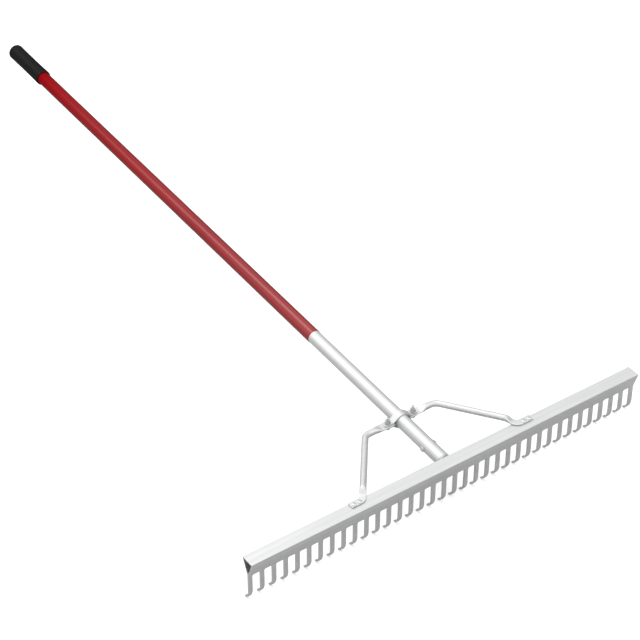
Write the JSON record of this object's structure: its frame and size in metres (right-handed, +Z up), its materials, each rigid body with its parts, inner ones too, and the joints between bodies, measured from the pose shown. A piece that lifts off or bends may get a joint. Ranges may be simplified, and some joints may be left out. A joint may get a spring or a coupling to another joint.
{
  "type": "landscape rake",
  "caption": "Wide aluminium landscape and leaf rake with a slotted hooked-tine head, two brace arms clamped to a tube handle, a red sleeve and a black end grip.",
  "frame": {"origin": "middle of the front face of the head's front lip", "axes": "+X along the head to the user's left when facing it from the handle, +Y from the head towards the user, +Z up with the tines hanging down"},
  "size_m": [0.9144, 1.6933, 0.1648],
  "materials": {
    "mill_aluminium": "mill finish extrusion and drawn tube, faint lengthwise die lines",
    "cast_aluminium": "fine as-cast grain",
    "rivet_aluminium": "smooth formed rivet",
    "zinc_steel": "bright zinc plated steel",
    "red_vinyl": "smooth semi-gloss vinyl sleeve",
    "black_rubber": "soft matte moulded rubber"
  },
  "bodies": {
    "root": {"rake_head": "mill_aluminium", "handle_tube": "mill_aluminium", "clamp_upper": "mill_aluminium", "clamp_lower": "mill_aluminium", "brace_arm_left": "mill_aluminium", "brace_arm_right": "mill_aluminium", "handle_bracket": "cast_aluminium", "cross_rivet": "rivet_aluminium", "vinyl_sleeve": "red_vinyl", "end_grip": "black_rubber", "clamp_bolt_left": "zinc_steel", "clamp_bolt_right": "zinc_steel", "clamp_washer_left": "zinc_steel", "clamp_washer_right": "zinc_steel", "clamp_nut_left": "zinc_steel", "clamp_nut_right": "zinc_steel", "bracket_rivet_1_body": "rivet_aluminium", "bracket_rivet_1_mandrel": "zinc_steel", "bracket_rivet_2_body": "rivet_aluminium", "bracket_rivet_2_mandrel": "zinc_steel", "bracket_rivet_3_body": "rivet_aluminium", "bracket_rivet_3_mandrel": "zinc_steel", "bracket_rivet_4_body": "rivet_aluminium", "bracket_rivet_4_mandrel": "zinc_steel", "foot_rivet_left_1_body": "rivet_aluminium", "foot_rivet_left_1_mandrel": "zinc_steel", "foot_rivet_left_2_body": "rivet_aluminium", "foot_rivet_left_2_mandrel": "zinc_steel", "foot_rivet_right_1_body": "rivet_aluminium", "foot_rivet_right_1_mandrel": "zinc_steel", "foot_rivet_right_2_body": "rivet_aluminium", "foot_rivet_right_2_mandrel": "zinc_steel"}
  },
  "joints": []
}
